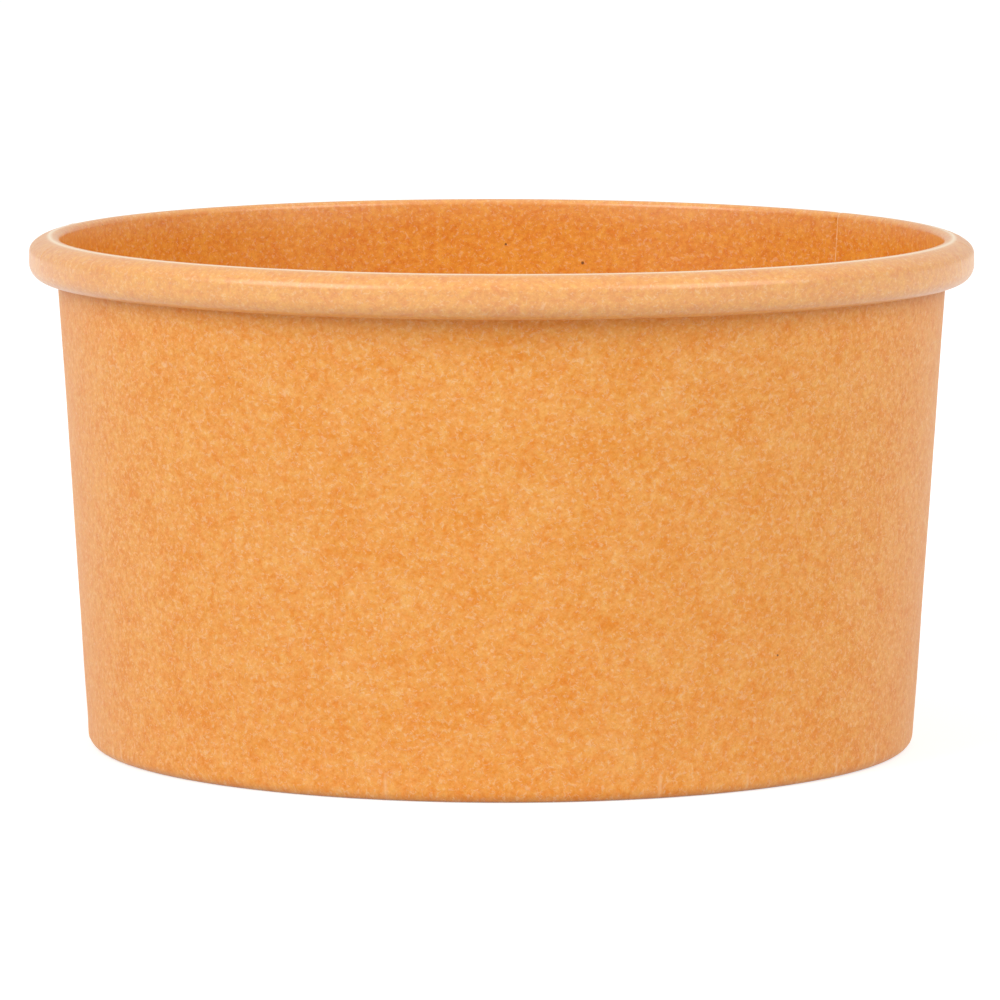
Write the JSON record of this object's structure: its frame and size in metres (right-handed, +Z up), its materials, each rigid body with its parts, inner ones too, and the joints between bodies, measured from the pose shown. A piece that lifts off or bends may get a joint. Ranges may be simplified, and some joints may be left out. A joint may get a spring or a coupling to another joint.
{
  "type": "paper ice cream tub",
  "caption": "Wide, low, slightly tapered kraft paper tub with an outward rolled rim and a recessed, hemmed-in base.",
  "frame": {"origin": "middle of the foot, on the surface that the tub stands on", "axes": "+Z up out of the mouth; the side lap's inner cut edge is at 38.1 degrees from +X towards +Y"},
  "size_m": [0.09, 0.09, 0.0487],
  "materials": {
    "side_wall": "matte brown kraft outside, smooth film coating inside and over the rim",
    "base": "brown kraft, smooth film coating on top, matte underneath"
  },
  "bodies": {
    "root": {"side_wall": "side_wall", "base": "base"}
  },
  "joints": []
}
